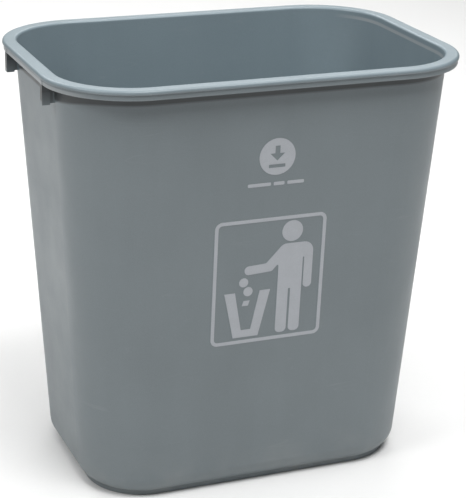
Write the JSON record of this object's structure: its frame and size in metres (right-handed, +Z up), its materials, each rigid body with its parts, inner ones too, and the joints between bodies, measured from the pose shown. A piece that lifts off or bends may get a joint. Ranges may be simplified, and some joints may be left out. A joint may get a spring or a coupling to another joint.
{
  "type": "wastebasket",
  "caption": "Rectangular tapered office wastebasket with large rounded corners, a turned-over rim with two lugs at one end, and a printed litter pictogram on its front wall.",
  "frame": {"origin": "bottom centre of the overall box, in the plane of the foot ring's sole, which is the surface it stands on", "axes": "+Z up; X along the long side with the two lugs at the -X end; the printed front wall faces -Y"},
  "size_m": [0.3756, 0.26, 0.381],
  "materials": {
    "basket_plastic": "satin moulded polypropylene, mid grey",
    "print_ink": "matt screen-print ink, light grey"
  },
  "bodies": {
    "root": {"basket": "basket_plastic", "badge_disc": "print_ink", "badge_bars": "print_ink", "pictogram_border": "print_ink", "pictogram_head": "print_ink", "pictogram_figure": "print_ink", "pictogram_bin": "print_ink", "pictogram_litter": "print_ink"}
  },
  "joints": []
}
